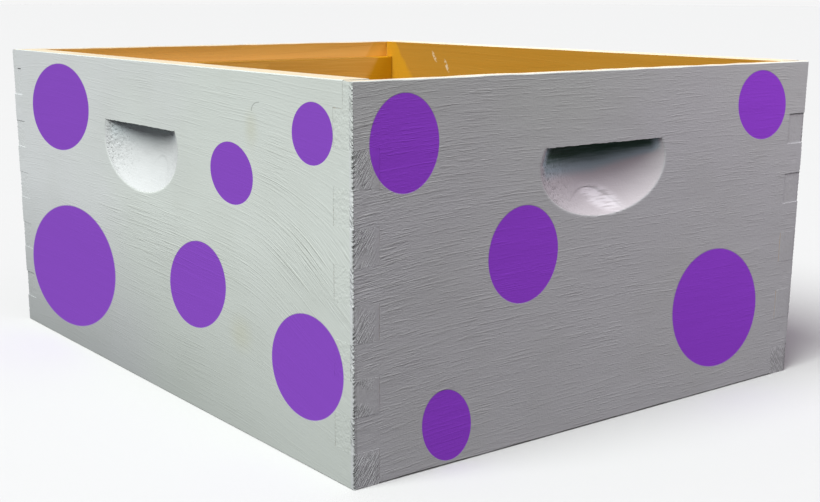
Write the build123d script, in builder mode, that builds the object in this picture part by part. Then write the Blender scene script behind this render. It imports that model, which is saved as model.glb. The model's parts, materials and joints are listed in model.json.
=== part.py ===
from build123d import *
import math
import os

# A deep hive body: the wooden box of a Langstroth beehive, open at the top and the bottom.
#
# Four boards meet in finger joints at the corners, glued and nailed through every finger. Each
# end board has a rabbet along its inner top edge, where the frames' lugs rest, and each board
# has a scooped handhold in its outer face.
#
# Millimetres. The origin is at the centre of the box, on the plane that it stands on. +Z is up
# and the box is longest along Y. The front end board faces -Y.

INCH = 25.4

# Box
LENGTH = 19.875 * INCH  # along Y
WIDTH = 16.25 * INCH  # along X
THICKNESS = 0.75 * INCH  # of every board

# Finger joints: side board, end board, side board and so on, counted from the bottom
PITCH = 0.875 * INCH  # height of each regular finger
REGULAR_FINGERS = 9
TOP_FINGER = 1.5 * INCH  # the end board's tall top finger, which holds the rabbet's end
TOP_FINGER_Z = REGULAR_FINGERS * PITCH
HEIGHT = TOP_FINGER_Z + TOP_FINGER

# Frame rest
REST_DEPTH = 0.625 * INCH  # from the top edge down to the ledge
REST_WIDTH = 0.375 * INCH  # of the ledge
LEDGE_Z = HEIGHT - REST_DEPTH
SEAT_DROP = 0.1  # the ledge's ends, where the side boards' tongues are glued, are cut this much lower

# Handhold: the path of a round-edged cutter that swings about an upright axis outside the board
SCOOP_DEPTH = 0.5 * INCH
SCOOP_HALF_WIDTH = 58.0  # at the deepest level
SCOOP_HALF_HEIGHT = 34.0  # of the cutter's rounded edge, which the flat lip cuts short
SCOOP_EDGE_RADIUS = (SCOOP_HALF_HEIGHT**2 + SCOOP_DEPTH**2) / (2 * SCOOP_DEPTH)
SCOOP_Z = 178.0  # level where the scoop is deepest
SCOOP_LIP_Z = 191.2  # flat lip that the fingers hold
SCOOP_AXIS_OUT = (SCOOP_HALF_WIDTH**2 - SCOOP_DEPTH**2) / (2 * SCOOP_DEPTH)  # from the face
END_SCOOP_OFFSET = -5.0  # along the board, to the right as seen from outside
SIDE_SCOOP_OFFSET = -12.5

# Nails
NAIL_LENGTH = 2.25 * INCH
NAIL_SET = 0.8  # depth of the head's top below the board's face
NAIL_HEAD_RADIUS = 3.3
NAIL_HEAD_HEIGHT = 1.2
SHANK_RADIUS = 1.25
POINT_RADIUS = 0.3
POINT_LENGTH = 4.0

STANDING = (Align.CENTER, Align.MIN)  # a rectangle that stands on its location

side_finger_levels = [(k + 0.5) * PITCH for k in range(0, REGULAR_FINGERS, 2)]
end_finger_levels = [(k + 0.5) * PITCH for k in range(1, REGULAR_FINGERS, 2)]
top_nail_level = (TOP_FINGER_Z + LEDGE_Z) / 2  # clear of the rabbet

# Outer face of each board: local X runs along the board, to the right as seen from outside,
# local Y is up and local Z points outward.
front_face = Plane(origin=(0, -LENGTH / 2, 0), x_dir=(1, 0, 0), z_dir=(0, -1, 0))
back_face = Plane(origin=(0, LENGTH / 2, 0), x_dir=(-1, 0, 0), z_dir=(0, 1, 0))
left_face = Plane(origin=(-WIDTH / 2, 0, 0), x_dir=(0, -1, 0), z_dir=(-1, 0, 0))
right_face = Plane(origin=(WIDTH / 2, 0, 0), x_dir=(0, 1, 0), z_dir=(1, 0, 0))


# Nail, pointing down, with the board's face at Z = 0

with BuildPart() as nail:
    with BuildSketch(Plane.XY.offset(-NAIL_SET)):
        Circle(NAIL_HEAD_RADIUS)
    extrude(amount=-NAIL_HEAD_HEIGHT)
    with BuildSketch(Plane.XY.offset(-NAIL_SET - NAIL_HEAD_HEIGHT)):
        Circle(SHANK_RADIUS)
    extrude(amount=-(NAIL_LENGTH - NAIL_HEAD_HEIGHT - POINT_LENGTH))
    with BuildSketch(Plane.XY.offset(-NAIL_SET - NAIL_LENGTH + POINT_LENGTH)):
        Circle(SHANK_RADIUS)
    with BuildSketch(Plane.XY.offset(-NAIL_SET - NAIL_LENGTH)):
        Circle(POINT_RADIUS)
    loft()

# Space that one driven nail takes out of the boards, with the recess above its head

with BuildPart() as nail_space:
    add(nail.part)
    with BuildSketch(Plane.XY):
        Circle(NAIL_HEAD_RADIUS)
    extrude(amount=-NAIL_SET)


def nail_places(face, board_length, end, levels):
    """Locations of the nails driven through one end of the board with this outer face."""
    from_middle = end * (board_length - THICKNESS) / 2
    return [face.location * Location((from_middle, level, 0)) for level in levels]


# Each corner has a row of nails through the end board's fingers and one through the side's.
end_nail_levels = end_finger_levels + [top_nail_level]
nail_rows = {
    "front_left_end_nails": nail_places(front_face, WIDTH, -1, end_nail_levels),
    "front_left_side_nails": nail_places(left_face, LENGTH, 1, side_finger_levels),
    "front_right_end_nails": nail_places(front_face, WIDTH, 1, end_nail_levels),
    "front_right_side_nails": nail_places(right_face, LENGTH, -1, side_finger_levels),
    "back_left_end_nails": nail_places(back_face, WIDTH, 1, end_nail_levels),
    "back_left_side_nails": nail_places(left_face, LENGTH, -1, side_finger_levels),
    "back_right_end_nails": nail_places(back_face, WIDTH, -1, end_nail_levels),
    "back_right_side_nails": nail_places(right_face, LENGTH, 1, side_finger_levels),
}
all_nails = [place for row in nail_rows.values() for place in row]


def handhold_space(face, offset):
    """The space that the handhold's cutter sweeps, for the board with this outer face."""
    middle = face.from_local_coords((offset, 0, 0))
    section = Plane(origin=middle, x_dir=-face.z_dir, z_dir=face.x_dir)
    swing_axis = Axis(section.from_local_coords((-SCOOP_AXIS_OUT, 0, 0)), (0, 0, 1))
    bottom_angle = -math.degrees(math.asin(SCOOP_HALF_HEIGHT / SCOOP_EDGE_RADIUS))
    lip_angle = math.degrees(math.asin((SCOOP_LIP_Z - SCOOP_Z) / SCOOP_EDGE_RADIUS))
    edge_centre = (SCOOP_DEPTH - SCOOP_EDGE_RADIUS, SCOOP_Z)
    with BuildPart() as space:
        with BuildSketch(section):
            with BuildLine():
                edge = CenterArc(edge_centre, SCOOP_EDGE_RADIUS, bottom_angle, lip_angle - bottom_angle)
                lip = Line(edge @ 1, (-SCOOP_AXIS_OUT, SCOOP_LIP_Z))
                axle = Line(lip @ 1, (-SCOOP_AXIS_OUT, SCOOP_Z - SCOOP_HALF_HEIGHT))
                Line(axle @ 1, edge @ 0)
            make_face()
        revolve(axis=swing_axis)
    return space.part


def end_board(label, face):
    """A short board, with the tall top fingers and the rabbet for the frames."""
    handhold = handhold_space(face, END_SCOOP_OFFSET)
    rest_section = Plane(origin=face.origin, x_dir=-face.z_dir, z_dir=face.x_dir)
    with BuildPart() as board:
        with BuildSketch(face):
            Rectangle(WIDTH, HEIGHT, align=STANDING)
            with Locations(*[(end * WIDTH / 2, z) for end in (-1, 1) for z in side_finger_levels]):
                Rectangle(2 * THICKNESS, PITCH, mode=Mode.SUBTRACT)
        extrude(amount=-THICKNESS)
        with BuildSketch(rest_section):
            with Locations((THICKNESS, HEIGHT)):
                Rectangle(2 * REST_WIDTH, 2 * REST_DEPTH)
        extrude(amount=WIDTH / 2, both=True, mode=Mode.SUBTRACT)
        for end in (-1, 1):
            with BuildSketch(rest_section.offset(end * (WIDTH / 2 - THICKNESS))):
                with Locations((THICKNESS, HEIGHT)):
                    Rectangle(2 * REST_WIDTH, 2 * (REST_DEPTH + SEAT_DROP))
            extrude(amount=end * THICKNESS, mode=Mode.SUBTRACT)
        add(handhold, mode=Mode.SUBTRACT)
        with Locations(*all_nails):
            add(nail_space.part, mode=Mode.SUBTRACT)
    board.part.label = label
    return board.part


def side_board(label, face):
    """A long board, whose top tongues close the ends of the end boards' rabbets."""
    handhold = handhold_space(face, SIDE_SCOOP_OFFSET)
    tongue_notch = THICKNESS - REST_WIDTH
    tongue_z = LEDGE_Z - SEAT_DROP
    with BuildPart() as board:
        with BuildSketch(face):
            Rectangle(LENGTH, HEIGHT, align=STANDING)
            with Locations(*[(end * LENGTH / 2, z) for end in (-1, 1) for z in end_finger_levels]):
                Rectangle(2 * THICKNESS, PITCH, mode=Mode.SUBTRACT)
            with Locations(*[(end * LENGTH / 2, TOP_FINGER_Z) for end in (-1, 1)]):
                Rectangle(2 * THICKNESS, tongue_z - TOP_FINGER_Z, align=STANDING, mode=Mode.SUBTRACT)
                Rectangle(2 * tongue_notch, TOP_FINGER, align=STANDING, mode=Mode.SUBTRACT)
        extrude(amount=-THICKNESS)
        add(handhold, mode=Mode.SUBTRACT)
        with Locations(*all_nails):
            add(nail_space.part, mode=Mode.SUBTRACT)
    board.part.label = label
    return board.part


os.makedirs("parts", exist_ok=True)

# Boards

for label, face in (("front_end_board", front_face), ("back_end_board", back_face)):
    export_step(end_board(label, face), f"parts/{label}.step")

for label, face in (("left_side_board", left_face), ("right_side_board", right_face)):
    export_step(side_board(label, face), f"parts/{label}.step")

# Nails

for label, row in nail_rows.items():
    with BuildPart() as nails:
        with Locations(*row):
            add(nail.part)
    nails.part.label = label
    export_step(nails.part, f"parts/{label}.step")
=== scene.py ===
import json
import math
from dataclasses import dataclass

import bpy
import numpy as np
from mathutils import Matrix, Vector


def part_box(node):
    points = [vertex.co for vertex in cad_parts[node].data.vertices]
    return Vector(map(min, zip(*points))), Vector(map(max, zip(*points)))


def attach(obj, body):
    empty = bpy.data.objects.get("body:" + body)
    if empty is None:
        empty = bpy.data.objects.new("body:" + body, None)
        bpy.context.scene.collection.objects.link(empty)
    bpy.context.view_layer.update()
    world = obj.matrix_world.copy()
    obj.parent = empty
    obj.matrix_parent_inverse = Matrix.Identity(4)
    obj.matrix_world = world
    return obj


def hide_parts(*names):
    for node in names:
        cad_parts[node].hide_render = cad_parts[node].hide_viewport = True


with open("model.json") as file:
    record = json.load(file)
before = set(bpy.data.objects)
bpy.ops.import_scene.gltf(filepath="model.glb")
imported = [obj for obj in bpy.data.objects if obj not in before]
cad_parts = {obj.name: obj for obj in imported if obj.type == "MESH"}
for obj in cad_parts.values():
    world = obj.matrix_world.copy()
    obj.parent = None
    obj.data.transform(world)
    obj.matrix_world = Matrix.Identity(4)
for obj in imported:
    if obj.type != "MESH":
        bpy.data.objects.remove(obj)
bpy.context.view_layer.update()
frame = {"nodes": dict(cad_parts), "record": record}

# The looks of a painted deep hive body. Everything is in metres, in the frame of the CAD model:
# +Z up, the box longest along Y, the front end board facing -Y.

MM = 0.001

# Sizes read from the frame

end_low, end_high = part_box("front_end_board")
side_low, side_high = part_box("left_side_board")
nail_low, nail_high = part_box("front_left_side_nails")
mounts = {mount["name"]: mount for mount in frame["record"]["mounts"]}

WIDTH = end_high.x - end_low.x
LENGTH = side_high.y - side_low.y
HEIGHT = end_high.z
THICKNESS = end_high.y - end_low.y
NAIL_HEAD = nail_high.y - nail_low.y  # diameter
REGULAR_FINGERS = 9
PITCH = (nail_high.z - nail_low.z - NAIL_HEAD) / (REGULAR_FINGERS - 1)
TOP_FINGER_Z = REGULAR_FINGERS * PITCH
LEDGE_Z = mounts["front_frame_ledge"]["pos_m"][2]
REST_WIDTH = 2 * (abs(mounts["front_frame_ledge"]["pos_m"][1]) - (LENGTH / 2 - THICKNESS))

SCOOP_DEPTH = 12.7 * MM  # of the handholds
LIP_SLOPE = 0.15 * MM  # half the height over which a lip's underside or a frame ledge slopes
LIP_CHIPS = 0.2 * MM  # of a lip's outer edge

# Surface

SKIN = 0.2 * MM  # how far the painted face lies inside the nominal board, so that ridges fit
EDGE_ROUND = 0.5 * MM
TOOTH = 0.6 * MM  # depth of the largest chips along the upright corners
TOOTH_REACH = 1.4 * MM  # of the chips, along the faces
CHIPPED_Z = HEIGHT - 15 * MM  # the corners are chipped below this level
FINGER_UNEVEN = 0.03 * MM  # of the fingers' ends
RIM_WORN = 0.1 * MM  # off every rim
END_RIM_WORN = 0.4 * MM  # off the end boards' rims besides, on average
SEAM_ROUND = 0.06 * MM  # rounding of the fingers' sides
SEAM_OPEN = 0.15 * MM  # most that a seam between fingers gapes
DIMPLE = 0.16 * MM  # depth of the paint's dip over a nail head
DIMPLE_RADIUS = 2.6 * MM
TORN_DEPTH = 0.35 * MM  # of the torn grain in the handholds
TORN_CELL = 2.1 * MM
TORN_REACH = 26 * MM  # along the board
SHADED_BELOW_Z = 135 * MM  # painted shade darkens the faces from this level down
LIP_SHADE_BAND = 17 * MM  # height of the painted shade under a lip, at its left end

# Brush lines

RISE = 6 * MM  # that they rise from the board's left end
RISE_REACH = 100 * MM
FALL_START = 150 * MM  # from the middle of a board, where they start to fall to the right
FALL_BEND = 30 * MM  # length over which they turn down
FALL_Z = 90 * MM  # level at which they fall the most
FALL_SPREAD = 80 * MM  # above and below it

# Grid

COARSE = 3.2 * MM
FINE = 0.9 * MM
BAND = 1.5 * MM  # step along the board near its ends
ROW = PITCH / 16
RIM_ROW = 1.2 * MM  # height of the first and last row
LAYERS = 9  # steps through the thickness
TINY = 0.01 * MM  # closer than this counts as touching
NOISE_CELLS = 256  # along each side of a table of random values
MOST_ROWS = 256  # more than any board's grid has

SECOND_LAYER = EDGE_ROUND + TOOTH_REACH
THIRD_LAYER = 4.5 * MM
layer_depths = [0, EDGE_ROUND, SECOND_LAYER]
layer_depths += list(np.linspace(THIRD_LAYER, THICKNESS - EDGE_ROUND, LAYERS - 3)) + [THICKNESS]

PAINT, END_GRAIN, RIM, INSIDE = range(4)  # material slots of a board


# Colours


def colour(red, green, blue):
    """A linear colour from its 0 to 255 display values."""
    channels = [value / 255 for value in (red, green, blue)]
    linear = [v / 12.92 if v <= 0.04045 else ((v + 0.055) / 1.055) ** 2.4 for v in channels]
    return (*linear, 1.0)


PAINT_PALE = colour(205, 210, 206)
PAINT_COOL = colour(207, 209, 211)
PAINT_THIN = colour(180, 184, 174)
PAINT_THICK = colour(211, 207, 210)
PAINT_THICK_SHADED_LEFT = colour(203, 205, 206)  # in the left board's handhold: a darker copy of the thick paint, as painted shade on the lit side
# a painted highlight under the front handhold's arched cut
PAINT_HIGHLIGHT = colour(250, 248, 252)
PAINT_YELLOWED = colour(188, 186, 156)
# painted half-shade and painted shade under the handholds' lips
HALF_SHADE_UNDER_LIP = colour(186, 205, 212)
SHADE_UNDER_LIP = colour(66, 96, 80)
# painted shade along the bottom of the faces
SHADE_LOW = colour(24, 38, 32)
PURPLE = colour(134, 73, 191)
# the dots' purple painted brighter for the shaded boards: painted light
PURPLE_PAINTED_LIGHT = colour(172, 80, 246)
# dark of cracks, scratches and saw marks; in the corner chips it is bare wood and painted shade
PIT = colour(70, 74, 70)
CREAM = colour(212, 198, 168)
CREAM_PALE = colour(222, 210, 184)
CREAM_DARK = colour(194, 172, 132)
HONEY = colour(230, 177, 74)
HONEY_PALE = colour(240, 192, 92)
HONEY_DARK = colour(196, 138, 40)
# painted shade on the right board's inner face and along the frame ledges
HONEY_SHADED = colour(162, 114, 28)
HONEY_FRESH = colour(248, 202, 114)
# painted shade in the inner corners
HONEY_CORNER_SHADE = colour(217, 160, 0)
ZINC = colour(158, 160, 160)
ZINC_DARK = colour(98, 98, 96)


# Smooth noise


def lattice_noise(x, y, seed):
    """Smooth noise between -1 and 1 whose features are about one unit across."""
    table = np.random.default_rng(seed).uniform(-1, 1, (NOISE_CELLS, NOISE_CELLS))
    x, y = np.broadcast_arrays(np.asarray(x, float), np.asarray(y, float))
    column, row = np.floor(x).astype(int), np.floor(y).astype(int)
    fx, fy = x - column, y - row
    fx, fy = fx * fx * (3 - 2 * fx), fy * fy * (3 - 2 * fy)
    left, right = column % NOISE_CELLS, (column + 1) % NOISE_CELLS
    down, up = row % NOISE_CELLS, (row + 1) % NOISE_CELLS
    a, b = table[left, down], table[right, down]
    c, d = table[left, up], table[right, up]
    return (a * (1 - fx) + b * fx) * (1 - fy) + (c * (1 - fx) + d * fx) * fy


def bump_at(distance, radius):
    """A smooth hill of height 1 at distance 0 that fades out over the radius."""
    return np.exp(-((distance / radius) ** 2))


# Boards


@dataclass
class Handhold:
    """A hollow left by a round-edged cutter that swung about an upright axis outside the board,
    with a flat lip over it, and a shallow arched cut in its lower part."""

    u: float  # of its middle
    z: float
    half_width: float
    half_height: float
    lip_z: float
    arch_u: float  # of the arched cut's top
    arch_z: float
    arch_half_width: float
    arch_cut: float


END_HANDHOLD = Handhold(
    u=-5 * MM, z=178 * MM, half_width=58 * MM, half_height=34 * MM, lip_z=191.2 * MM,
    arch_u=-13 * MM, arch_z=162.5 * MM, arch_half_width=20 * MM, arch_cut=0.8 * MM,
)
SIDE_HANDHOLD = Handhold(
    u=-13 * MM, z=180 * MM, half_width=59 * MM, half_height=35.5 * MM, lip_z=192.7 * MM,
    arch_u=2 * MM, arch_z=171.5 * MM, arch_half_width=15 * MM, arch_cut=0.25 * MM,
)


@dataclass
class Board:
    """A board and its own coordinates: u along it to the right as seen from outside, z up, and
    depth into the wood from its nominal outer face."""

    name: str
    along: tuple
    outward: tuple
    length: float
    reach: float  # from the middle of the box to the nominal outer face
    handhold: Handhold
    is_end: bool
    purple: tuple  # of the dots painted on it, brighter on the shaded boards as painted light
    grime: float  # share of painted shade along the bottom
    lip_dirt: float  # share of painted shade under the handhold's lip
    recess: tuple  # least and most that a finger's end stands in
    tilt: float  # slope of its brush lines, down to the right
    fall: float  # how much steeper they are near its right end
    stretch: float  # of its brush lines
    rough: float  # strength of its brush lines
    rougher: list  # patches where they are stronger: u, z, half width and half height in
    # millimetres, and how much stronger
    seed: int

    def place(self, u, z, depth):
        """World positions of points given in the board's coordinates."""
        along, outward = np.array(self.along, float), np.array(self.outward, float)
        points = u[..., None] * along + (self.reach - depth)[..., None] * outward
        points[..., 2] += z
        return points

    def nail_levels(self):
        """Heights of the nails driven through this board's fingers."""
        if not self.is_end:
            return [(k + 0.5) * PITCH for k in range(0, REGULAR_FINGERS, 2)]
        levels = [(k + 0.5) * PITCH for k in range(1, REGULAR_FINGERS, 2)]
        return levels + [(TOP_FINGER_Z + LEDGE_Z) / 2]

    def has_wood(self, u, z):
        """True where the board has wood, seen from outside, with its fingers and notches."""
        from_end = self.length / 2 - abs(u)
        side_level = (z < TOP_FINGER_Z) & (np.floor(z / PITCH) % 2 == 0)
        if self.is_end:
            return (from_end > THICKNESS) | ~side_level
        tongue = (z > LEDGE_Z) & (from_end > THICKNESS - REST_WIDTH)
        return (from_end > THICKNESS) | side_level | tongue


boards = [
    Board(
        "front_end_board", (1, 0, 0), (0, -1, 0), WIDTH, LENGTH / 2, END_HANDHOLD, is_end=True,
        purple=PURPLE_PAINTED_LIGHT, grime=0.0, lip_dirt=0.85, recess=(0.06 * MM, 0.2 * MM), tilt=0.0, fall=0.0,
        stretch=1.0, rough=0.3, rougher=[(-190, 150, 80, 110, 0.35), (-30, 90, 60, 60, 0.1)], seed=26,
    ),
    Board(
        "back_end_board", (-1, 0, 0), (0, 1, 0), WIDTH, LENGTH / 2, END_HANDHOLD, is_end=True,
        purple=PURPLE_PAINTED_LIGHT, grime=0.12, lip_dirt=0.6, recess=(0.5 * MM, 0.9 * MM), tilt=0.02, fall=0.15,
        stretch=1.5, rough=0.3, rougher=[(80, 110, 90, 60, 0.4)], seed=23,
    ),
    Board(
        "left_side_board", (0, -1, 0), (-1, 0, 0), LENGTH, WIDTH / 2, SIDE_HANDHOLD, is_end=False,
        purple=PURPLE, grime=0.42, lip_dirt=0.16, recess=(0.04 * MM, 0.13 * MM), tilt=0.035, fall=0.5,
        stretch=2.2, rough=0.18,
        rougher=[(10, 115, 105, 24, 0.6), (90, 218, 150, 22, 0.05), (205, 130, 50, 30, 0.65),
                 (172, 182, 20, 16, 0.6), (60, 60, 150, 45, 0.12)],
        seed=37,
    ),
    Board(
        "right_side_board", (0, 1, 0), (1, 0, 0), LENGTH, WIDTH / 2, SIDE_HANDHOLD, is_end=False,
        purple=PURPLE_PAINTED_LIGHT, grime=0.12, lip_dirt=0.4, recess=(0.04 * MM, 0.9 * MM), tilt=-0.01, fall=0.3,
        stretch=1.8, rough=0.3, rougher=[(-120, 140, 90, 50, 0.4)], seed=46,
    ),
]
front_board, left_board, right_board = boards[0], boards[2], boards[3]


def scoop_depth(u, z, handhold):
    """Depth of a handhold below the nominal face, and 0 outside it."""
    edge_radius = (handhold.half_height**2 + SCOOP_DEPTH**2) / (2 * SCOOP_DEPTH)
    axis_out = (handhold.half_width**2 - SCOOP_DEPTH**2) / (2 * SCOOP_DEPTH)
    edge = np.sqrt(np.clip(edge_radius**2 - (z - handhold.z) ** 2, 0, None))
    radius = axis_out + SCOOP_DEPTH - edge_radius + edge
    depth = np.sqrt(np.clip(radius**2 - (u - handhold.u) ** 2, 0, None)) - axis_out
    return np.where(z < handhold.lip_z, np.clip(depth, 0, None), 0)


def grain_height(u, z, board):
    """Height of a point measured across the grain, which waves along the board. The brush swept up
    from the board's left end, and on some boards down towards the right end."""
    wave = 2.2 * MM * lattice_noise(u / 0.15, z / 0.07, board.seed)
    wave += 0.5 * MM * lattice_noise(u / 0.04, z / 0.02, board.seed + 1)
    from_left = np.clip((u + board.length / 2) / RISE_REACH, 0, 1)
    rise = RISE * (1 - from_left) ** 2
    beyond = u - FALL_START
    turned = board.fall * (np.hypot(beyond, FALL_BEND) + beyond) / 2
    return z + wave + rise + board.tilt * u + turned * bump_at(z - FALL_Z, FALL_SPREAD)


def face_relief(u, z, board):
    """Height of the painted face above its mean: brush ridges, raised grain and hollows."""
    across = grain_height(u, z, board)
    ridges = 0.02 * MM * lattice_noise(u / 0.03, across / 0.0042, board.seed + 2)
    ridges += 0.025 * MM * lattice_noise(u / 0.07, across / 0.011, board.seed + 3)
    hollows = 0.06 * MM * lattice_noise(u / 0.09, z / 0.045, board.seed + 4)
    return ridges + hollows


def nail_dimples(u, z, board):
    """Depth of the dimples that the paint leaves over the nail heads."""
    depth = np.zeros_like(u)
    for end in (-1, 1):
        for level in board.nail_levels():
            away = np.hypot(u - end * (board.length - THICKNESS) / 2, z - level)
            depth += DIMPLE * bump_at(away, DIMPLE_RADIUS)
    return depth


def torn_share(u, board):
    """1 at the handhold's left end, where the cutter tore the grain, fading to 0."""
    return bump_at(u - board.handhold.u + board.handhold.half_width, TORN_REACH)


def outer_depth(u, z, board):
    """Depth of the outer surface below the nominal face."""
    scoop = scoop_depth(u, z, board.handhold)
    torn = lattice_noise(u / TORN_CELL, z / TORN_CELL, board.seed + 5)
    rough = TORN_DEPTH * torn_share(u, board) * torn
    rough += 0.08 * MM * lattice_noise(u / 0.012, z / 0.006, board.seed + 6)
    inside_scoop = np.clip(scoop / (2 * MM), 0, 1)
    depth = SKIN - face_relief(u, z, board) * (1 - inside_scoop) + nail_dimples(u, z, board)
    return depth + scoop + inside_scoop * (rough + arched_cut(u, z, board.handhold))


def arched_cut(u, z, handhold):
    """Depth of the arched cut: deep under its upper edge, and fading out below."""
    across = (u - handhold.arch_u) / handhold.arch_half_width
    below = handhold.arch_z - 8 * MM * across**2 - z
    fade = np.clip(1 - below / (13 * MM), 0, 1) * np.clip(below / (0.6 * MM), 0, 1)
    return handhold.arch_cut * fade * bump_at(across - 0.25, 1)


def inner_depth(u, z, board):
    """Depth of the inner surface, which steps out over the frame rest in an end board."""
    uneven = 0.08 * MM * lattice_noise(u / 0.07, z / 0.02, board.seed + 7)
    depth = THICKNESS - 0.1 * MM + uneven
    if board.is_end:
        depth = depth - REST_WIDTH * (z > LEDGE_Z)
    return depth


def grid_lines(marks, step_at):
    """Lines through all the marks, with even steps between them that step_at allows."""
    marks = sorted(set(np.round(marks, 7)))
    lines = []
    for low, high in zip(marks, marks[1:]):
        count = math.ceil((high - low) / step_at((low + high) / 2) - 1e-6)
        lines += [low + (high - low) * k / count for k in range(count)]
    return np.array(lines + [marks[-1]])


def grid_columns(board):
    """Places of the grid lines that cross the board."""
    half = board.length / 2
    scoop_low = board.handhold.u - board.handhold.half_width - 2 * MM
    scoop_high = board.handhold.u + board.handhold.half_width + 2 * MM
    ends = [half, half - TOOTH_REACH, half - THICKNESS, half - THICKNESS + REST_WIDTH]
    marks = [side * end for side in (-1, 1) for end in ends] + [scoop_low, scoop_high]

    def step_at(u):
        if scoop_low < u < scoop_high:
            return FINE
        return BAND if abs(u) > half - THICKNESS else COARSE

    return grid_lines(marks, step_at)


def grid_rows(handhold):
    """Heights of the grid lines that run along a board."""
    scoop_low = handhold.z - handhold.half_height - 1 * MM
    marks = [k * PITCH for k in range(REGULAR_FINGERS + 1)]
    marks += [HEIGHT - RIM_ROW, HEIGHT, RIM_ROW, scoop_low]
    marks += [level + side * LIP_SLOPE for level in (handhold.lip_z, LEDGE_Z) for side in (-1, 1)]
    return grid_lines(marks, lambda z: FINE if scoop_low < z < handhold.lip_z else ROW)


def lip_dirt(u, z, depth, board):
    """Painted shade in the handhold under its lip, from 0 to 1, in a band that thins to the right."""
    handhold = board.handhold
    to_right = np.clip((u - handhold.u) / handhold.half_width, 0, 1)
    band = LIP_SHADE_BAND * (1 - 0.6 * to_right)
    near_lip = np.clip(1.35 - (handhold.lip_z - z) / band, 0, 1) * (z < handhold.lip_z)
    deep = np.clip((depth - 0.5 * MM) / (3.5 * MM), 0, 1)
    return board.lip_dirt * near_lip * deep


def brush_strength(u, z, board):
    """Strength of the brush lines."""
    strength = np.full(u.shape, board.rough)
    for middle_u, middle_z, half_width, half_height, more in board.rougher:
        away = np.hypot((u / MM - middle_u) / half_width, (z / MM - middle_z) / half_height)
        strength += more * bump_at(away, 1)
    return strength


def corner_chips(z, board):
    """Size of the small chips that the saw left along a corner, one in every other row."""
    row = np.round(z / ROW).astype(int)
    sizes = np.random.default_rng(board.seed + 10).uniform(0.5, 1, MOST_ROWS)
    return sizes[row] * (row % 2) * (z < CHIPPED_Z)


def border_insets(u, z, side_u, side_z, layer, depth, board):
    """How far the wood's edge stands in from its nominal outline, along u and z."""
    at_end = abs(u) > board.length / 2 - TINY
    at_rim = (z < TINY) | (z > HEIGHT - TINY)
    finger = np.floor(np.clip(z + side_z * TINY, 0, TOP_FINGER_Z + TINY) / PITCH).astype(int)
    where = (u > 0).astype(int), finger
    shape = 2, REGULAR_FINGERS + 1
    recesses = np.random.default_rng(board.seed + 8).uniform(*board.recess, shape)
    wear = 1 + 2.5 * np.random.default_rng(board.seed + 11).uniform(0, 1, shape) ** 4
    uneven = lattice_noise(z / 0.003, depth / 0.006, board.seed + 9)
    recess = recesses[where] + FINGER_UNEVEN * uneven
    if layer < 2:
        recess = recess + TOOTH * corner_chips(z, board)
    worn = np.full(z.shape, RIM_WORN)
    if board.is_end:
        worn += END_RIM_WORN * (1 + 0.6 * lattice_noise(u / 0.015, depth / 0.004, board.seed + 13))
    inset_u = np.where(at_end, recess, 0)
    inset_z = np.where(at_rim, worn, 0)
    if layer in (0, LAYERS):
        open_seam = np.clip(lattice_noise(u / 0.004, z / 0.004, board.seed + 12), 0, None)
        rounding = EDGE_ROUND * wear[where] if layer == 0 else SEAM_ROUND
        inset_u += np.where(at_end, rounding, SEAM_ROUND * open_seam)
        inset_z += np.where(at_rim, EDGE_ROUND, SEAM_OPEN * open_seam)
    return side_u * inset_u, side_z * inset_z


def wood_cells(board, columns, rows):
    """True in each cell of the grid that has wood, with a row of empty cells all round."""
    cell_u = (columns[1:] + columns[:-1]) / 2
    cell_z = (rows[1:] + rows[:-1]) / 2
    wood = np.zeros((len(columns) + 1, len(rows) + 1), bool)
    wood[1:-1, 1:-1] = board.has_wood(cell_u[:, None], cell_z[None, :])
    return wood


def wood_around(wood):
    """At each point of the grid, how many of the four cells around it have wood, and towards which
    side the wood lies along u and along z."""
    left_down, right_down = wood[:-1, :-1], wood[1:, :-1]
    left_up, right_up = wood[:-1, 1:], wood[1:, 1:]
    around = left_down.astype(int) + right_down + left_up + right_up
    side_u = np.sign(right_down.astype(int) + right_up - left_down - left_up)
    side_z = np.sign(left_up.astype(int) + right_up - left_down - right_down)
    return around, side_u, side_z


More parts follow.
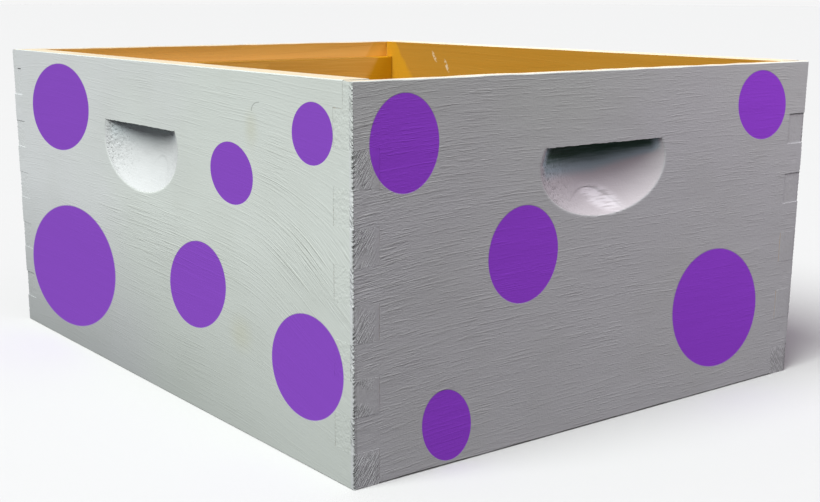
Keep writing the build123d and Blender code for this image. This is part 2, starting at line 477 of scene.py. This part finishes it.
def board_points(board, columns, rows, wood):
    """The board's points, layer after layer from its outer to its inner face: what each point
    carries, and for each layer the number of the point at each place of the grid."""
    handhold = board.handhold
    around, side_u, side_z = wood_around(wood)
    border = (around > 0) & (around < 4)
    u, z = np.meshgrid(columns, rows, indexing="ij")
    outer, inner = outer_depth(u, z, board), inner_depth(u, z, board)
    at_lip = (abs(z - handhold.lip_z) < LIP_SLOPE + TINY) & (abs(u - handhold.u) < handhold.half_width)
    chips = at_lip * LIP_CHIPS * lattice_noise(u / 0.0026, 0.0, board.seed + 14)
    at_end = border & (abs(u) > board.length / 2 - TINY)
    chip_layer = 0 if board.is_end else 1
    across, brushed = grain_height(u, z, board), brush_strength(u, z, board)
    layers, numbers = [], []
    count = 0
    for layer in range(LAYERS + 1):
        if layer in (0, LAYERS):
            used = around > 0
            depth = outer if layer == 0 else inner
        else:
            used = border
            share = (layer_depths[layer] - EDGE_ROUND) / (THICKNESS - 2 * EDGE_ROUND)
            depth = outer + EDGE_ROUND + share * (inner - outer - 2 * EDGE_ROUND)
        inset_u, inset_z = border_insets(u, z, side_u, side_z, layer, depth, board)
        shift_z = border * inset_z + (chips if layer == 0 else 0)
        carried = {
            "position": board.place(u + border * inset_u, z + shift_z, depth),
            "grain": np.stack([u / board.stretch, depth, across], -1),
            "torn": (layer == 0) * torn_share(u, board) * (outer > 1 * MM),
            # chips darkened on the end boards' side of each corner: bare wood and painted shade
            "chipped": (layer == chip_layer) * at_end * corner_chips(z, board),
            # painted shade under the handhold's lip
            "lip_shade": (layer == 0) * lip_dirt(u, z, depth, board),
            "rough": brushed,
        }
        layers.append({name: values[used] for name, values in carried.items()})
        number = np.full(u.shape, -1)
        number[used] = count + np.arange(used.sum())
        count += used.sum()
        numbers.append(number)
    return {name: np.concatenate([layer[name] for layer in layers]) for name in layers[0]}, numbers


def board_faces(numbers, wood, rows):
    """The board's quads, wound to face out, and the material slot of each."""
    faces, slots = [], []

    def add_quads(a, b, c, d, where, slot):
        faces.append(np.stack([a[where], b[where], c[where], d[where]], -1))
        slots.append(np.broadcast_to(slot, where.shape)[where])

    cells = wood[1:-1, 1:-1]
    front, back = numbers[0], numbers[-1]
    add_quads(front[:-1, :-1], front[1:, :-1], front[1:, 1:], front[:-1, 1:], cells, PAINT)
    add_quads(back[:-1, :-1], back[:-1, 1:], back[1:, 1:], back[1:, :-1], cells, INSIDE)

    at_rims = abs(rows - HEIGHT / 2) > HEIGHT / 2 - TINY
    level_slot = np.where(at_rims, RIM, END_GRAIN)[None, :]
    right_gap = wood[:-1, 1:-1] & ~wood[1:, 1:-1]
    left_gap = ~wood[:-1, 1:-1] & wood[1:, 1:-1]
    up_gap = wood[1:-1, :-1] & ~wood[1:-1, 1:]
    down_gap = ~wood[1:-1, :-1] & wood[1:-1, 1:]
    low, high = slice(None, -1), slice(1, None)
    for near, far in zip(numbers, numbers[1:]):
        add_quads(near[:, low], far[:, low], far[:, high], near[:, high], right_gap, END_GRAIN)
        add_quads(near[:, low], near[:, high], far[:, high], far[:, low], left_gap, END_GRAIN)
        add_quads(near[low], near[high], far[high], far[low], up_gap, level_slot)
        add_quads(near[low], far[low], far[high], near[high], down_gap, level_slot)
    return np.concatenate(faces), np.concatenate(slots)


def board_mesh(board):
    """A closed board with its fingers, handhold and rabbet, as one fine grid on each face and
    walls of several steps round every edge."""
    columns, rows = grid_columns(board), grid_rows(board.handhold)
    wood = wood_cells(board, columns, rows)
    carried, numbers = board_points(board, columns, rows, wood)
    faces, slots = board_faces(numbers, wood, rows)

    mesh = bpy.data.meshes.new(board.name + "_looks")
    mesh.from_pydata(carried["position"].tolist(), [], faces.tolist())
    mesh.polygons.foreach_set("material_index", slots.astype(np.int32))
    mesh.polygons.foreach_set("use_smooth", np.ones(len(mesh.polygons), bool))
    mesh.set_sharp_from_angle(angle=math.radians(32))
    attribute = mesh.attributes.new("grain", "FLOAT_VECTOR", "POINT")
    offset = np.array([board.seed * 1.37, 0, board.seed * 0.73])  # to another stretch of the noise
    attribute.data.foreach_set("vector", (carried["grain"] + offset).astype(np.float32).ravel())
    for name in ("torn", "chipped", "lip_shade", "rough"):
        attribute = mesh.attributes.new(name, "FLOAT", "POINT")
        attribute.data.foreach_set("value", carried[name].astype(np.float32))
    mesh.validate()
    return mesh


# Materials


class Shader:
    """A material's nodes. Each call adds one node and gives its first output, or the one named."""

    def __init__(self, name):
        self.material = bpy.data.materials.new(name)
        self.material.use_nodes = True
        self.tree = self.material.node_tree
        self.surface = self.tree.nodes["Principled BSDF"]
        self.surface.inputs["Specular IOR Level"].default_value = 0.25

    def node(self, kind, output=0, settings=None, **inputs):
        made = self.tree.nodes.new("ShaderNode" + kind)
        for key, value in (settings or {}).items():
            setattr(made, key, value)
        for key, value in inputs.items():
            self.feed(made, key.replace("_", " "), value)
        return made.outputs[output]

    def feed(self, node, key, value):
        socket = node.inputs[int(key)] if key.isdigit() else node.inputs[key]
        if isinstance(value, bpy.types.NodeSocket):
            self.tree.links.new(value, socket)
        else:
            socket.default_value = value

    def math(self, operation, a, b=0.0, c=0.0):
        made = self.tree.nodes.new("ShaderNodeMath")
        made.operation = operation
        for number, value in enumerate((a, b, c)):
            self.feed(made, str(number), value)
        return made.outputs[0]

    def vector(self, operation, a, b=(0, 0, 0), output=0):
        made = self.tree.nodes.new("ShaderNodeVectorMath")
        made.operation = operation
        self.feed(made, "0", a)
        self.feed(made, "1", b)
        return made.outputs[output]

    def dot(self, a, b):
        return self.vector("DOT_PRODUCT", a, b, output="Value")

    def cells(self, vector, size, turn=0.0):
        """The vector measured in cells of this size in metres, turned about the second axis."""
        settings = {"vector_type": "TEXTURE"}
        turned = (0, turn, 0)
        return self.node("Mapping", settings=settings, Vector=vector, Rotation=turned, Scale=size)

    def noise(self, vector, scale, detail=2.0, roughness=0.5, distortion=0.0):
        return self.node(
            "TexNoise",
            Vector=vector,
            Scale=scale,
            Detail=detail,
            Roughness=roughness,
            Distortion=distortion,
        )

    def ramp(self, value, low, high, smooth=True):
        """0 below low, 1 above high."""
        kind = "SMOOTHSTEP" if smooth else "LINEAR"
        settings = {"interpolation_type": kind}
        inputs = {"Value": value, "From_Min": low, "From_Max": high}
        return self.node("MapRange", settings=settings, **inputs)

    def mix(self, share, a, b):
        """Colour a where the share is 0, b where it is 1."""
        made = self.tree.nodes.new("ShaderNodeMix")
        made.data_type = "RGBA"
        sockets = {"Factor": made.inputs[0], "A": made.inputs[6], "B": made.inputs[7]}
        for key, value in (("Factor", share), ("A", a), ("B", b)):
            if isinstance(value, bpy.types.NodeSocket):
                self.tree.links.new(value, sockets[key])
            else:
                sockets[key].default_value = value
        return made.outputs[2]

    def product(self, *factors):
        """All the values multiplied together."""
        result = factors[0]
        for factor in factors[1:]:
            result = self.math("MULTIPLY", result, factor)
        return result

    def total(self, *terms):
        """The sum of values, each times its weight."""
        result = 0.0
        for value, weight in terms:
            result = self.math("MULTIPLY_ADD", value, weight, result)
        return result

    def bump(self, height):
        """A normal for a relief whose height is in millimetres."""
        return self.node("Bump", Height=height, Distance=MM)

    def grain(self):
        """Position along the grain, into the wood and across the grain, in metres."""
        return self.node("Attribute", output="Vector", settings={"attribute_name": "grain"})

    def mark(self, name):
        """A number that the mesh carries at its points."""
        return self.node("Attribute", output="Fac", settings={"attribute_name": name})

    def place(self):
        """Position in the frame, in metres."""
        return self.node("TexCoord", output="Object")

    def finish(self, colour, roughness, normal):
        self.feed(self.surface, "Base Color", colour)
        self.feed(self.surface, "Roughness", roughness)
        self.feed(self.surface, "Normal", normal)
        return self.material


# Marks on the boards

FACE_DEEP = 3 * MM  # below its nominal plane, a face's dots and grime reach this far
DOT_EDGE = 0.012  # share of a dot's radius on each side of its outline where its colour fades
SAW_TURN = math.radians(57)  # of the saw marks on the finger ends, falling outward

# Each of these is an ellipse: u and z of its middle, half width and half height in millimetres,
# and in some its turn in degrees

ARC_SCRATCH = (154.5, 214, 9.5, 6)  # on the left board, scratched for a quarter of its outline
HIGHLIGHT_SPOT = (-2, 155, 19, 8, -20)  # painted highlight under the arched cut on the front board
YELLOWED = [(144, 203, 9, 13), (125, 68, 16, 14)]  # on the left board
SCUFFS = [  # on the right board's inner face
    (164, 225, 6.5, 1.8, 55),
    (145, 217, 7.0, 1.9, 60),
    (-60, 120, 12.0, 1.4, 20),
]
DOTS = {  # polka dots on the outer faces
    "front_end_board": [
        (-169.5, 201.5, 25, 28.7, 4),
        (154.5, 208, 28, 24, -24),
        (-75, 126, 29.5, 31.3, 6),
        (116.3, 63.3, 48.6, 42.8, -32),
        (-135.7, 26, 19, 23.7, 19),
    ],
    "left_side_board": [
        (-155, 195.3, 57, 34.3, 6),
        (-149, 66, 85, 50, 9),
        (67, 90.2, 41, 29.8, 19),
        (118, 172.6, 27, 20, -2),
        (212, 205.8, 21.4, 18.2, 9),
        (203, 64, 40, 33, 14),
    ],
    "back_end_board": [
        (-148, 186, 30, 33, 10),
        (-40, 92, 41, 36, -8),
        (66, 215, 15, 14, 0),
        (142, 148, 34, 30, 20),
        (120, 38, 22, 20, -12),
        (-162, 48, 24, 27, 4),
    ],
    "right_side_board": [
        (-196, 172, 30, 34, 8),
        (-112, 58, 38, 34, -14),
        (-92, 205, 18, 17, 0),
        (22, 88, 27, 30, 5),
        (112, 166, 40, 36, 16),
        (190, 58, 44, 40, -10),
    ],
}


def ellipse(shader, flat, u, z, half_width, half_height, turn=0.0):
    """Distance from the middle of an ellipse, 1 on its outline. Sizes in millimetres."""
    inside = shader.node(
        "Mapping",
        settings={"vector_type": "TEXTURE"},
        Vector=flat,
        Location=(u * MM, z * MM, 0),
        Rotation=(0, 0, math.radians(turn)),
        Scale=(half_width * MM, half_height * MM, 1),
    )
    return shader.vector("LENGTH", inside, output="Value")


def flat_place(shader, place, board):
    """A point's u and z on this board."""
    u = shader.dot(place, board.along)
    z = shader.dot(place, (0, 0, 1))
    return shader.node("CombineXYZ", X=u, Y=z)


def face_mask(shader, place, board):
    """1 on this board's side of the box."""
    out = shader.dot(place, board.outward)
    return shader.math("GREATER_THAN", out, board.reach - FACE_DEEP)


def dot_mask(shader, place, board):
    """1 inside this board's dots."""
    flat = flat_place(shader, place, board)
    mask = 0.0
    for dot in DOTS[board.name]:
        inside = shader.ramp(ellipse(shader, flat, *dot), 1 + DOT_EDGE, 1 - DOT_EDGE)
        mask = shader.math("MAXIMUM", mask, inside)
    return shader.product(face_mask(shader, place, board), mask)


def paint_tint(shader, place, ridges):
    """The paint's own colour: cooler low on the front and far back on the others, thinner in
    clouds and on the ridges."""
    z = shader.dot(place, (0, 0, 1))
    cool_front = shader.math("MULTIPLY_ADD", z, -1.3, 0.55)
    cool_far = shader.math("MULTIPLY_ADD", shader.dot(place, (0, 1, 0)), 1.2, 0.25)
    on_front = face_mask(shader, place, front_board)
    cool = shader.node("Mix", Factor=on_front, A=cool_far, B=cool_front)
    cool = shader.math("MULTIPLY_ADD", shader.noise(place, 5.0, detail=3), 0.5, cool)
    base = shader.mix(shader.ramp(cool, 0.4, 0.65), PAINT_PALE, PAINT_COOL)
    cloud = shader.ramp(shader.noise(place, 21.0, detail=4), 0.4, 0.75)
    base = shader.mix(shader.product(cloud, 0.12), base, PAINT_THIN)
    return shader.mix(shader.product(ridges, 0.25), base, PAINT_THIN)


def thick_paint(shader, place, base, thick):
    """Adds the thicker paint in the handholds, and a painted highlight under the front one's arched
    cut.
    """
    on_left = shader.math("GREATER_THAN", shader.dot(place, (-1, 0, 0)), WIDTH / 2 - THICKNESS)
    # the lit left board's handhold gets a darker copy of the thick paint: painted shade
    base = shader.mix(thick, base, shader.mix(on_left, PAINT_THICK, PAINT_THICK_SHADED_LEFT))
    streaks = shader.noise(shader.cells(place, (0.012, 1, 0.001)), 1.0, detail=2)
    flat = flat_place(shader, place, front_board)
    highlight = shader.ramp(ellipse(shader, flat, *HIGHLIGHT_SPOT), 1.2, 0.5)
    return shader.mix(shader.product(highlight, shader.ramp(streaks, 0.3, 0.55), thick), base, PAINT_HIGHLIGHT)


def weathered(shader, place, base):
    """Adds painted shade along the bottom, darker towards the back, and the left board's yellowed
    spots.
    """
    shaded_low = 0.0
    for board in boards:
        share = shader.product(face_mask(shader, place, board), board.grime)
        shaded_low = shader.math("MAXIMUM", shaded_low, share)
    low = shader.ramp(shader.dot(place, (0, 0, 1)), SHADED_BELOW_Z, 0, smooth=False)
    away = shader.ramp(shader.dot(place, (0, 1, 0)), -LENGTH / 2, LENGTH / 4)
    uneven = shader.math("MULTIPLY_ADD", away, 0.5, 0.5)
    base = shader.mix(shader.product(shaded_low, low, uneven), base, SHADE_LOW)
    flat = flat_place(shader, place, left_board)
    on_left = face_mask(shader, place, left_board)
    for spot in YELLOWED:
        faint = shader.product(shader.ramp(ellipse(shader, flat, *spot), 1.3, 0.0), 0.3)
        base = shader.mix(shader.product(faint, on_left), base, PAINT_YELLOWED)
    return base


def lip_dirtied(shader, place, base):
    """Adds the painted shade under the handholds' lips: a dark band with a paler lower edge."""
    wisps = shader.noise(shader.cells(place, (0.02, 0.02, 0.0015)), 1.0, detail=2)
    lip_shade = shader.product(shader.mark("lip_shade"), shader.math("MULTIPLY_ADD", wisps, 0.5, 0.75))
    base = shader.mix(shader.ramp(lip_shade, 0, 0.4), base, HALF_SHADE_UNDER_LIP)
    return shader.mix(shader.ramp(lip_shade, 0.34, 0.92), base, SHADE_UNDER_LIP)


def paint(shader, relief, ridges, pits, thick=0.0):
    """Finishes a painted surface: shifts of tint, thin paint on the ridges, painted shade along the
    bottom and under the lips, a painted highlight under the front handhold's arched cut, and the
    dots over all, brighter on the shaded boards as painted light. The relief is in millimetres;
    ridges, pits and thick run from 0 to 1."""
    place = shader.place()
    base = paint_tint(shader, place, ridges)
    base = thick_paint(shader, place, base, thick)
    base = weathered(shader, place, base)
    base = lip_dirtied(shader, place, base)
    base = shader.mix(pits, base, PIT)
    # the dots on the shaded boards get a brighter purple: painted light
    dotted, purple = 0.0, PURPLE
    for board in boards:
        in_dot = dot_mask(shader, place, board)
        purple = shader.mix(in_dot, purple, board.purple)
        dotted = shader.math("MAXIMUM", dotted, in_dot)
    base = shader.mix(dotted, base, purple)
    smooth = shader.math("MULTIPLY_ADD", dotted, -0.5, 1.0)
    roughness = shader.math("MULTIPLY_ADD", ridges, 0.12, 0.5)
    return shader.finish(base, roughness, shader.bump(shader.product(relief, smooth)))


def arc_scratch(shader, place):
    """1 along the scratch on the left board, the upper left quarter of an ellipse."""
    flat = flat_place(shader, place, left_board)
    away = shader.math("SUBTRACT", ellipse(shader, flat, *ARC_SCRATCH), 1.0)
    line = shader.ramp(shader.math("ABSOLUTE", away), 0.07, 0.02)
    left_of = shader.math("LESS_THAN", shader.dot(flat, (1, 0, 0)), ARC_SCRATCH[0] * MM)
    above = shader.math("GREATER_THAN", shader.dot(flat, (0, 1, 0)), ARC_SCRATCH[1] * MM)
    return shader.product(line, left_of, above, face_mask(shader, place, left_board))


def brush_lines(shader, grain):
    """Relief of the brush lines on a face, and their crests from 0 to 1, both as strong as the
    mesh and a patchy noise say."""
    dash = shader.noise(shader.cells(grain, (0.004, 0.01, 0.0008)), 1.0, detail=1)
    fine = shader.noise(shader.cells(grain, (0.011, 0.012, 0.0009)), 1.0, detail=2, roughness=0.55)
    long = shader.noise(shader.cells(grain, (0.03, 0.02, 0.0013)), 1.0, detail=2)
    crests = shader.ramp(long, 0.54, 0.64)
    patch = shader.noise(shader.cells(grain, (0.05, 0.05, 0.02)), 1.0, detail=1)
    strength = shader.math("MULTIPLY_ADD", shader.ramp(patch, 0.35, 0.65), 0.5, 0.75)
    strength = shader.product(strength, shader.mark("rough"))
    lines = shader.total((dash, 0.25), (fine, 0.3), (crests, 0.16))
    return shader.product(lines, strength), shader.product(crests, strength)


def face_paint():
    """Paint on the boards' faces: short brush lines and raised grain along the wood, and torn
    grain at one end of the handholds."""
    shader = Shader("painted_face")
    grain, place = shader.grain(), shader.place()
    depth = shader.node("SeparateXYZ", output="Y", Vector=grain)
    in_scoop = shader.ramp(depth, 0.35 * MM, 0.7 * MM)
    fainter = shader.math("MULTIPLY_ADD", in_scoop, -0.6, 1.0)
    lines, crests = brush_lines(shader, grain)
    grit = shader.noise(grain, 700.0, detail=1)
    rubble = shader.noise(place, 560.0, detail=3, roughness=0.65)
    torn = shader.product(rubble, shader.mark("torn"))
    relief = shader.total((shader.product(lines, fainter), 1.0), (grit, 0.05), (torn, 0.8))
    cracks = shader.product(shader.ramp(rubble, 0.44, 0.34), shader.mark("torn"), 0.7)
    # the corner chips are darkened: bare wood and painted shade
    pits = shader.math("MAXIMUM", cracks, shader.mark("chipped"))
    pits = shader.math("MAXIMUM", pits, shader.product(arc_scratch(shader, place), 0.4))
    return paint(shader, relief, crests, pits, thick=in_scoop)


def end_paint():
    """Paint on the finger ends: pebbled end grain, and slanting saw marks next to the front left
    corner and along the bottom."""
    shader = Shader("painted_end_grain")
    place = shader.place()
    z = shader.dot(place, (0, 0, 1))
    on_front = face_mask(shader, place, front_board)
    by_corner = shader.ramp(shader.dot(place, (-1, 0, 0)), WIDTH / 2 - THICKNESS, WIDTH / 2 - 3 * MM)
    patchy = shader.ramp(shader.noise(place, 60.0, detail=0), 0.3, 0.48)
    low = shader.ramp(z, PITCH, 0.8 * PITCH)
    sawn = shader.math("MAXIMUM", shader.product(by_corner, on_front, patchy), shader.product(low, 0.7))
    across = shader.dot(shader.vector("ABSOLUTE", place), (1, 1, 0))
    ends = shader.node("CombineXYZ", X=across, Z=z)
    saw = shader.noise(shader.cells(ends, (0.01, 1, 0.0009), turn=SAW_TURN), 1.0, detail=1)
    marks = shader.product(sawn, shader.ramp(saw, 0.42, 0.58))
    pebble = shader.node("TexVoronoi", Vector=place, Scale=620.0)
    lump = shader.noise(place, 380.0, detail=3)
    lumpy = shader.math("MULTIPLY_ADD", on_front, -0.6, 1.0)
    pebbled = shader.product(shader.total((pebble, 0.1), (lump, 0.36)), lumpy)
    relief = shader.total((pebbled, 1.0), (marks, 0.42))
    dark = shader.product(sawn, shader.ramp(saw, 0.42, 0.34), 0.5)
    # the corner chips are darkened: bare wood and painted shade
    pits = shader.math("MAXIMUM", dark, shader.mark("chipped"))
    return paint(shader, relief, shader.ramp(lump, 0.5, 0.8), pits)


def wood_figure(shader, grain, light, middle, dark, contrast):
    """Softwood: fine fibre, and wide pale early wood between narrow darker lines. Gives its
    colour, and how far each point lies in a dark line and in a fibre."""
    flow = shader.noise(shader.cells(grain, (0.5, 0.03, 0.03)), 1.0, detail=1, distortion=0.3)
    rings = shader.math("FRACT", shader.product(flow, 12.0))
    late = shader.ramp(rings, 0.5, 0.97)
    fibre = shader.noise(shader.cells(grain, (0.03, 0.0016, 0.0007)), 1.0, detail=2)
    band = shader.noise(shader.cells(grain, (0.3, 0.02, 0.006)), 1.0, detail=2)
    base = shader.mix(shader.ramp(shader.total((fibre, 0.5), (band, 0.5)), 0.38, 0.62), light, middle)
    return shader.mix(shader.product(late, contrast), base, dark), late, fibre


def rim_wood():
    """Bare wood of the sawn rims, with paint that ran over the outer edge."""
    shader = Shader("bare_rim")
    grain = shader.grain()
    base, late, fibre = wood_figure(shader, grain, CREAM_PALE, CREAM, CREAM_DARK, 0.3)
    depth = shader.node("SeparateXYZ", output="Y", Vector=grain)
    ragged = shader.math("MULTIPLY_ADD", shader.noise(grain, 150.0, detail=3), 4.0 * MM, -0.2 * MM)
    painted = shader.math("LESS_THAN", depth, ragged)
    base = shader.mix(painted, base, PAINT_PALE)
    roughness = shader.math("MULTIPLY_ADD", fibre, 0.2, 0.55)
    relief = shader.total((fibre, 0.12), (late, 0.06))
    return shader.finish(base, roughness, shader.bump(relief))


def corner_stain(shader, place):
    """1 in the painted shade in each inner corner, which narrows towards the rim."""
    parts = shader.vector("ABSOLUTE", place)
    in_corner = WIDTH / 2 + LENGTH / 2 - 2 * THICKNESS
    to_corner = shader.math("SUBTRACT", in_corner, shader.dot(parts, (1, 1, 0)))
    below_rim = shader.math("SUBTRACT", HEIGHT + 8 * MM, shader.dot(place, (0, 0, 1)))
    slant = shader.math("DIVIDE", to_corner, shader.math("MINIMUM", below_rim, 50 * MM))
    ragged = shader.math("MULTIPLY_ADD", shader.noise(place, 90.0, detail=3), 0.3, slant)
    return shader.ramp(ragged, 1.0, 0.75)


def scuff_marks(shader, place):
    """The broken pale scuffs on the right board's inner face, from 0 to 1."""
    flat = flat_place(shader, place, right_board)
    scuffed = 0.0
    for scuff in SCUFFS:
        scuffed = shader.math("MAXIMUM", scuffed, shader.ramp(ellipse(shader, flat, *scuff), 1.2, 0.6))
    broken = shader.ramp(shader.noise(place, 500.0, detail=2), 0.4, 0.55)
    return shader.product(scuffed, broken, 0.7)


def inside_wood():
    """Bare inner faces, honey coloured with age and wax, with painted shade in the corners, along the
    frame ledges and on the right board's key-lit inner face, and fresher in the rabbets."""
    shader = Shader("bare_inside")
    grain, place = shader.grain(), shader.place()
    base, late, fibre = wood_figure(shader, grain, HONEY_PALE, HONEY, HONEY_DARK, 0.22)
    cloud = shader.ramp(shader.noise(grain, 9.0, detail=3), 0.4, 0.7)
    base = shader.mix(shader.product(cloud, 0.25), base, HONEY_DARK)
    z = shader.dot(place, (0, 0, 1))
    to_end = shader.dot(shader.vector("ABSOLUTE", place), (0, 1, 0))
    inner_x = WIDTH / 2 - THICKNESS
    inner_y = LENGTH / 2 - THICKNESS
    on_right = shader.math("GREATER_THAN", shader.dot(place, (1, 0, 0)), inner_x - 1 * MM)
    # painted shade on the right board's inner face, which the key light strikes
    base = shader.mix(shader.product(on_right, 0.85), base, HONEY_SHADED)
    in_rabbet = shader.math("GREATER_THAN", to_end, inner_y + REST_WIDTH - 1 * MM)
    fresh = shader.math("MULTIPLY_ADD", shader.ramp(z, LEDGE_Z, HEIGHT), -0.7, 0.85)
    base = shader.mix(shader.product(in_rabbet, fresh), base, HONEY_FRESH)
    # painted shade along the frame ledges, whose tops face the light
    by_end = shader.math("GREATER_THAN", to_end, inner_y - SKIN)
    from_ledge = shader.math("ABSOLUTE", shader.math("SUBTRACT", z, LEDGE_Z))
    on_ledge = shader.product(shader.ramp(from_ledge, 4 * LIP_SLOPE, LIP_SLOPE), by_end)
    base = shader.mix(shader.product(on_ledge, 0.8), base, HONEY_SHADED)
    # painted shade in the inner corners, fainter in the rabbets and on the right board
    faint = shader.math("MULTIPLY_ADD", shader.math("MAXIMUM", in_rabbet, on_right), -0.5, 0.95)
    base = shader.mix(shader.product(corner_stain(shader, place), faint), base, HONEY_CORNER_SHADE)
    base = shader.mix(shader.product(scuff_marks(shader, place), on_right), base, CREAM_PALE)
    roughness = shader.math("MULTIPLY_ADD", fibre, 0.2, 0.45)
    relief = shader.total((fibre, 0.1), (late, 0.05))
    return shader.finish(base, roughness, shader.bump(relief))


def nail_zinc():
    """Dull galvanised steel."""
    shader = Shader("nail_zinc")
    spangle = shader.noise(shader.place(), 900.0, detail=3)
    base = shader.mix(shader.ramp(spangle, 0.35, 0.7), ZINC, ZINC_DARK)
    roughness = shader.math("MULTIPLY_ADD", spangle, 0.3, 0.35)
    shader.surface.inputs["Metallic"].default_value = 1.0
    return shader.finish(base, roughness, shader.bump(shader.product(spangle, 0.05)))


# Pieces

board_materials = [face_paint(), end_paint(), rim_wood(), inside_wood()]
for board in boards:
    mesh = board_mesh(board)
    for material in board_materials:
        mesh.materials.append(material)
    piece = bpy.data.objects.new("painted_" + board.name, mesh)
    bpy.context.scene.collection.objects.link(piece)
    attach(piece, "root")
    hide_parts(board.name)

zinc = nail_zinc()
for name, node in frame["nodes"].items():
    if name.endswith("_nails"):
        node.data.materials.clear()
        node.data.materials.append(zinc)

# Stage, light and camera

FLOOR_PALE = (0.67, 0.67, 0.67, 1)
FLOOR_DARK = (0.66, 0.66, 0.66, 1)
FILL_ABOVE = (0.465, 0.42, 0.465, 1)  # radiance of the room over the box
FILL_BELOW = (0.05, 0.05, 0.05, 1)
FILL_FULL = 0.65  # sine of the height in the sky where the fill is at its full strength
BACKDROP = (0.92, 0.92, 0.92, 1)  # what the camera sees past the floor
FLOOR_REACH = 40.0  # from its middle to each side
KEY_HEIGHT = math.radians(50)  # of the key light above the horizon
KEY_TURN = math.radians(7)  # of the key light from -X towards -Y
KEY_SIZE = math.radians(38)  # across, as seen from the box
KEY_STRENGTH = 4.25
KEY_TINT = (0.955, 1.0, 0.965)
SIDE_SIZE = 0.35  # diameter
SIDE_LIGHTS = [  # name, place, target, power and tint
    ("front", (0.45, -0.6, 0.7), (0, -0.25, 0.15), 2.15, (1.0, 0.87, 0.96)),
    ("back", (0.9, 0.8, 0.7), (0, 0, 0.15), 3.5, (1.0, 0.94, 0.97)),
]


def stage_floor():
    """A pale floor, wide enough to fill every view."""
    shader = Shader("pale_floor")
    place = shader.place()
    mottle = shader.noise(place, 6.0, detail=2)
    base = shader.mix(mottle, FLOOR_PALE, FLOOR_DARK)
    grit = shader.product(shader.noise(place, 300.0), 0.05)
    material = shader.finish(base, 0.9, shader.bump(grit))
    mesh = bpy.data.meshes.new("floor")
    corners = [(x * FLOOR_REACH, y * FLOOR_REACH, 0) for x, y in ((-1, -1), (1, -1), (1, 1), (-1, 1))]
    mesh.from_pydata(corners, [], [(0, 1, 2, 3)])
    mesh.materials.append(material)
    floor = bpy.data.objects.new("floor", mesh)
    bpy.context.scene.collection.objects.link(floor)
    floor.visible_diffuse = False  # its bounce would fill the shade under the handholds' lips
    floor.visible_glossy = False


def studio_world():
    """Fill light, strong from above and dim from below, behind a pale backdrop."""
    world = bpy.data.worlds.new("studio")
    world.use_nodes = True
    nodes, links = world.node_tree.nodes, world.node_tree.links
    direction = nodes.new("ShaderNodeTexCoord")
    parts = nodes.new("ShaderNodeSeparateXYZ")
    upward = nodes.new("ShaderNodeMapRange")
    upward.interpolation_type = "SMOOTHSTEP"
    upward.inputs["From Min"].default_value = 0.0
    upward.inputs["From Max"].default_value = FILL_FULL
    tint = nodes.new("ShaderNodeMix")
    tint.data_type = "RGBA"
    tint.inputs[6].default_value = FILL_BELOW
    tint.inputs[7].default_value = FILL_ABOVE
    fill = nodes["Background"]
    backdrop = nodes.new("ShaderNodeBackground")
    backdrop.inputs["Color"].default_value = BACKDROP
    seen = nodes.new("ShaderNodeLightPath")
    either = nodes.new("ShaderNodeMixShader")
    links.new(direction.outputs["Generated"], parts.inputs[0])
    links.new(parts.outputs["Z"], upward.inputs["Value"])
    links.new(upward.outputs[0], tint.inputs[0])
    links.new(tint.outputs[2], fill.inputs["Color"])
    links.new(seen.outputs["Is Camera Ray"], either.inputs[0])
    links.new(fill.outputs[0], either.inputs[1])
    links.new(backdrop.outputs[0], either.inputs[2])
    links.new(either.outputs[0], nodes["World Output"].inputs["Surface"])
    bpy.context.scene.world = world


def soft_light(name, kind, place, target, strength, tint):
    """A light that the camera doesn't see, pointed from one place to another."""
    data = bpy.data.lights.new(name, kind)
    data.energy = strength
    data.color = tint
    made = bpy.data.objects.new(name, data)
    made.location = place
    made.rotation_euler = (Vector(target) - Vector(place)).to_track_quat("-Z", "Y").to_euler()
    made.visible_camera = False
    bpy.context.scene.collection.objects.link(made)
    return made


def key_light():
    """A wide light, high up on the left."""
    across = math.cos(KEY_HEIGHT)
    place = (-across * math.cos(KEY_TURN), -across * math.sin(KEY_TURN), math.sin(KEY_HEIGHT))
    key = soft_light("key", "SUN", place, (0, 0, 0), KEY_STRENGTH, KEY_TINT)
    key.data.angle = KEY_SIZE


def side_lights():
    """Small round lights off the front right and back right corners, to lift the shaded sides but
    not the floor."""
    passed_by = bpy.data.collections.new("not_lit_from_the_side")
    passed_by.objects.link(bpy.data.objects["floor"])
    passed_by.collection_objects[0].light_linking.link_state = "EXCLUDE"
    for name, place, target, power, tint in SIDE_LIGHTS:
        side = soft_light(name, "AREA", place, target, power, tint)
        side.data.shape = "DISK"
        side.data.size = SIDE_SIZE
        side.light_linking.receiver_collection = passed_by


CAMERA_PLACE = Vector((-603.1, -814.8, 282.5)) * MM
CAMERA_TURN = math.radians(37.20)  # from +Y towards +X
CAMERA_DIP = math.radians(13.74)
CAMERA_ROLL = math.radians(0.22)
SENSOR = 36.0  # millimetres
FOCAL_LENGTH = 54.89  # millimetres
SHIFT = 0.0181, 0.0627  # of the picture's middle, as shares of its width


def photo_camera():
    """A camera off the front left corner, a little above the rim."""
    data = bpy.data.cameras.new("camera")
    data.sensor_width = SENSOR
    data.lens = FOCAL_LENGTH
    data.shift_x, data.shift_y = SHIFT
    camera = bpy.data.objects.new("camera", data)
    turn = Matrix.Rotation(-CAMERA_TURN, 4, "Z") @ Matrix.Rotation(math.pi / 2 - CAMERA_DIP, 4, "X")
    camera.matrix_world = Matrix.Translation(CAMERA_PLACE) @ turn @ Matrix.Rotation(CAMERA_ROLL, 4, "Z")
    bpy.context.scene.collection.objects.link(camera)
    bpy.context.scene.camera = camera


stage_floor()
studio_world()
key_light()
side_lights()
photo_camera()
bpy.context.scene.view_settings.view_transform = "Standard"
